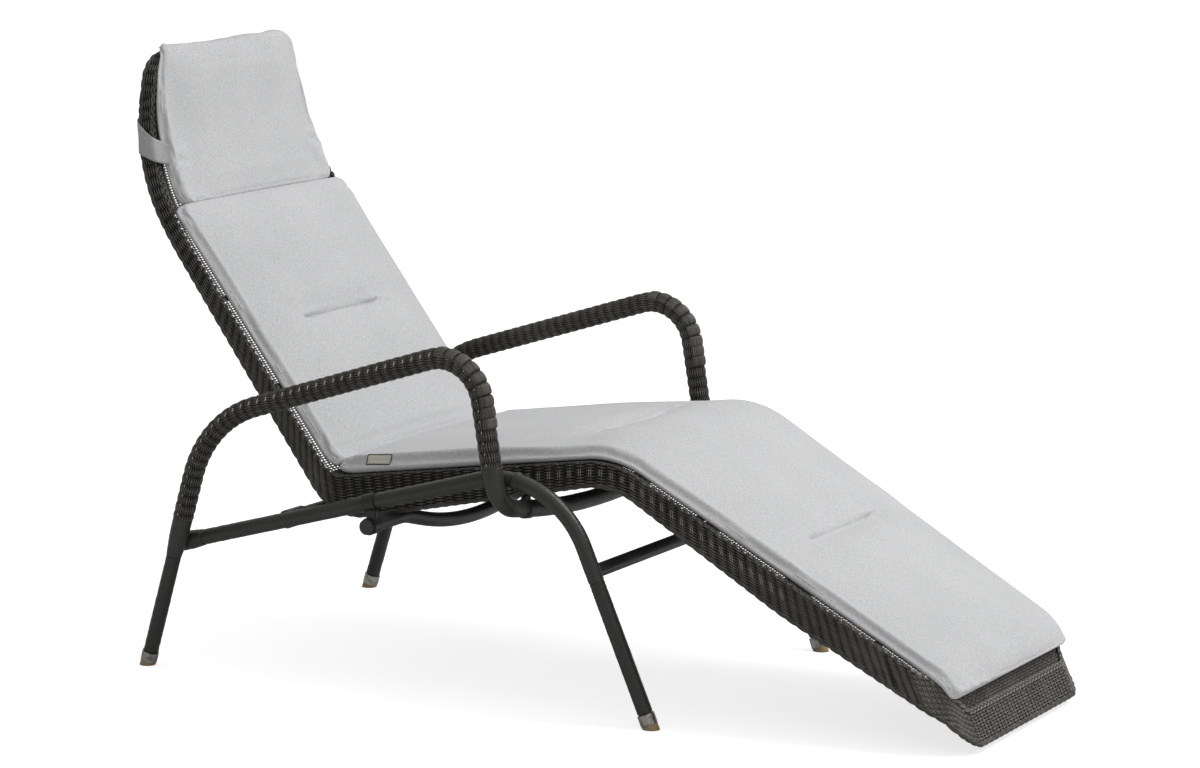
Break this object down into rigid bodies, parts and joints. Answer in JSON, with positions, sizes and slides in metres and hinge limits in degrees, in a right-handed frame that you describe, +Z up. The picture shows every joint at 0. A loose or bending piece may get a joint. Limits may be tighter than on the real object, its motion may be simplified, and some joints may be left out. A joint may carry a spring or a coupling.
{
  "type": "stacking lounge chair",
  "caption": "Long lounge chair with a bent tube frame wound in cane, open arm loops, a woven S-shaped shell and a loose sectioned cushion.",
  "frame": {"origin": "on the floor, under the middle of the chair's outline", "axes": "+X from the head end to the foot end, +Y to the sitter's left, +Z up"},
  "size_m": [1.528, 0.7252, 1.0151],
  "materials": {
    "coated_tube": "charcoal powder coat on bent tube, satin",
    "cane_winding": "charcoal synthetic cane wound in close turns",
    "woven_fibre": "charcoal synthetic fibre, tightly woven",
    "shell_frame": "charcoal powder coat on aluminium bar",
    "cap_plastic": "moulded charcoal plastic",
    "ferrule_metal": "turned stainless steel, satin",
    "glide_plastic": "moulded tan plastic, scuffed at the floor",
    "cushion_fabric": "light grey woven outdoor fabric, slightly heathered",
    "strap_fabric": "light grey woven outdoor fabric, folded flat",
    "tag_fabric": "blank woven tape"
  },
  "bodies": {
    "chair_frame": {"arm_frame_tube_left": "coated_tube", "arm_frame_tube_right": "coated_tube", "arm_post_pads": "cane_winding", "arm_weave_left": "woven_fibre", "arm_weave_right": "woven_fibre", "foot_ferrules": "ferrule_metal", "foot_glides": "glide_plastic", "front_cross_tube": "coated_tube", "front_cross_tube_cane": "cane_winding", "front_leg_cane": "cane_winding", "leg_stretcher_tube": "coated_tube", "post_cane": "cane_winding", "rail_cane_left": "cane_winding", "rail_cane_right": "cane_winding", "rail_lashings": "cane_winding", "rear_cross_tube": "coated_tube", "rear_cross_tube_bindings": "cane_winding", "rear_cross_tube_cane": "cane_winding", "rear_joint_binding": "cane_winding", "rear_leg_cane": "cane_winding", "rim_braid": "woven_fibre", "seat_cross_tube": "coated_tube", "seat_cross_tube_caps": "cap_plastic", "seat_cross_tube_lashings": "cane_winding", "shell_bar_foot": "shell_frame", "shell_bar_head": "shell_frame", "shell_bar_left": "shell_frame", "shell_bar_right": "shell_frame", "shell_cross_ribs": "shell_frame", "shell_lashings": "cane_winding", "shell_lower_rods": "shell_frame", "shell_stakes": "shell_frame", "side_rail_tube_left": "coated_tube", "side_rail_tube_right": "coated_tube", "woven_border_foot": "woven_fibre", "woven_border_head": "woven_fibre", "woven_border_left": "woven_fibre", "woven_border_right": "woven_fibre", "woven_deck": "woven_fibre"},
    "cushion": {"head_cushion": "cushion_fabric", "back_cushion": "cushion_fabric", "seat_leg_cushion": "cushion_fabric", "cushion_strap": "strap_fabric", "cushion_side_tag": "tag_fabric"}
  },
  "joints": [
    {"name": "cushion_lift", "type": "slide", "parent": "chair_frame", "child": "cushion", "axis": [0, 0, 1], "range_m": [0, 0.2]}
  ]
}
